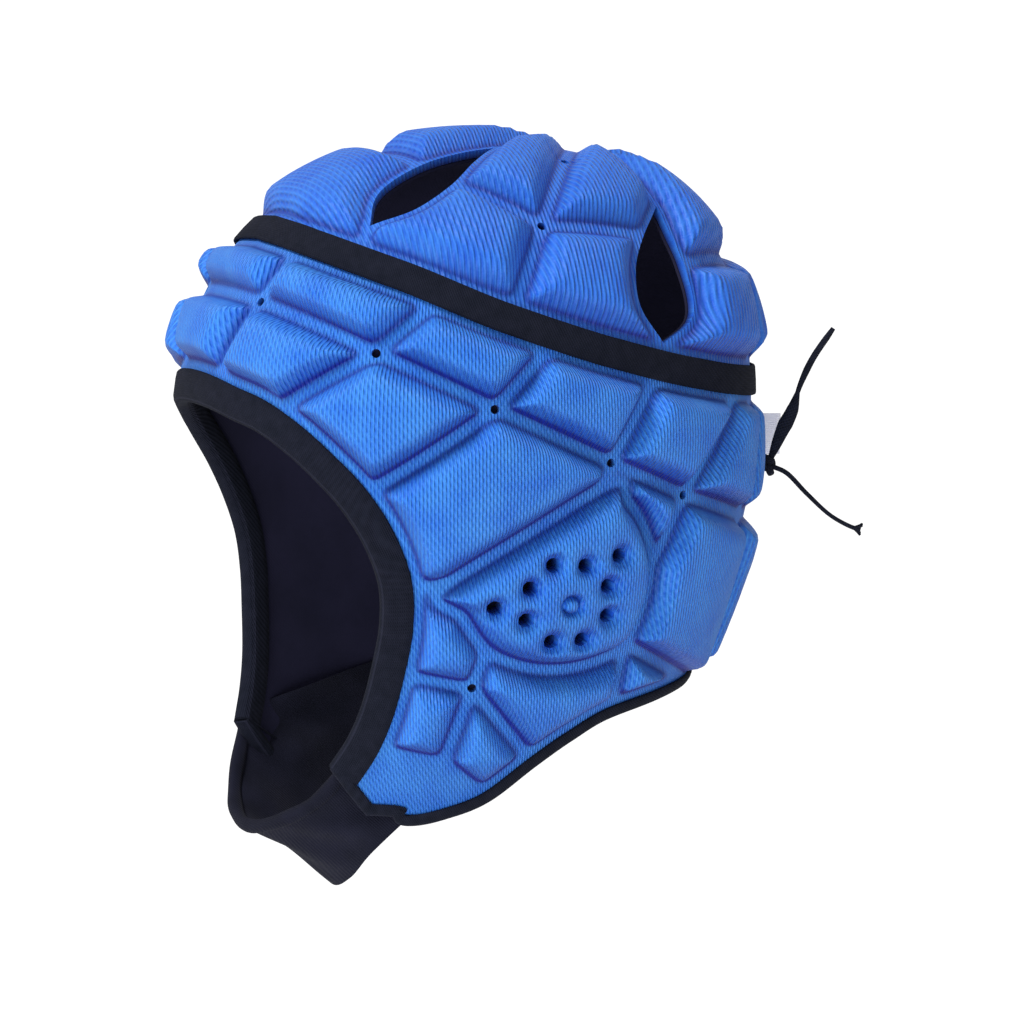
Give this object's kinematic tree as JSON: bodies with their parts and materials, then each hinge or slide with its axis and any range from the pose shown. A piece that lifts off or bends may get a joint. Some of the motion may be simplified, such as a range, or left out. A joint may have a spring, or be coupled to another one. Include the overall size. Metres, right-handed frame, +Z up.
{
  "type": "rugby scrum cap",
  "caption": "Soft padded rugby cap with grooved foam pads over crown and sides, perforated ear pads, open vents, a bound face opening, a laced rear slit and a chin strap.",
  "frame": {"origin": "highest point of the crown's inner face, over the middle of the head", "axes": "+Z up as worn, the face opening towards -Y, the wearer's left at +X"},
  "size_m": [0.1834, 0.2479, 0.2653],
  "materials": {
    "mesh_blue": "knitted polyester mesh bonded over moulded foam pads",
    "navy_tape": "stretch tape",
    "lining": "soft jersey",
    "lace": "flat woven lace",
    "label": "bare satin label"
  },
  "bodies": {
    "root": {"crown_shell": "mesh_blue", "side_shell": "mesh_blue", "crown_lining": "lining", "side_lining": "lining", "band": "navy_tape", "face_binding": "navy_tape", "hem_binding_left": "navy_tape", "hem_binding_right": "navy_tape", "chin_strap": "navy_tape", "chin_strap_roll": "navy_tape", "lace_rung_1": "lace", "lace_rung_2": "lace", "lace_rung_3": "lace", "lace_knot": "lace", "lace_end_up": "lace", "lace_end_down": "lace", "label": "label"}
  },
  "joints": []
}
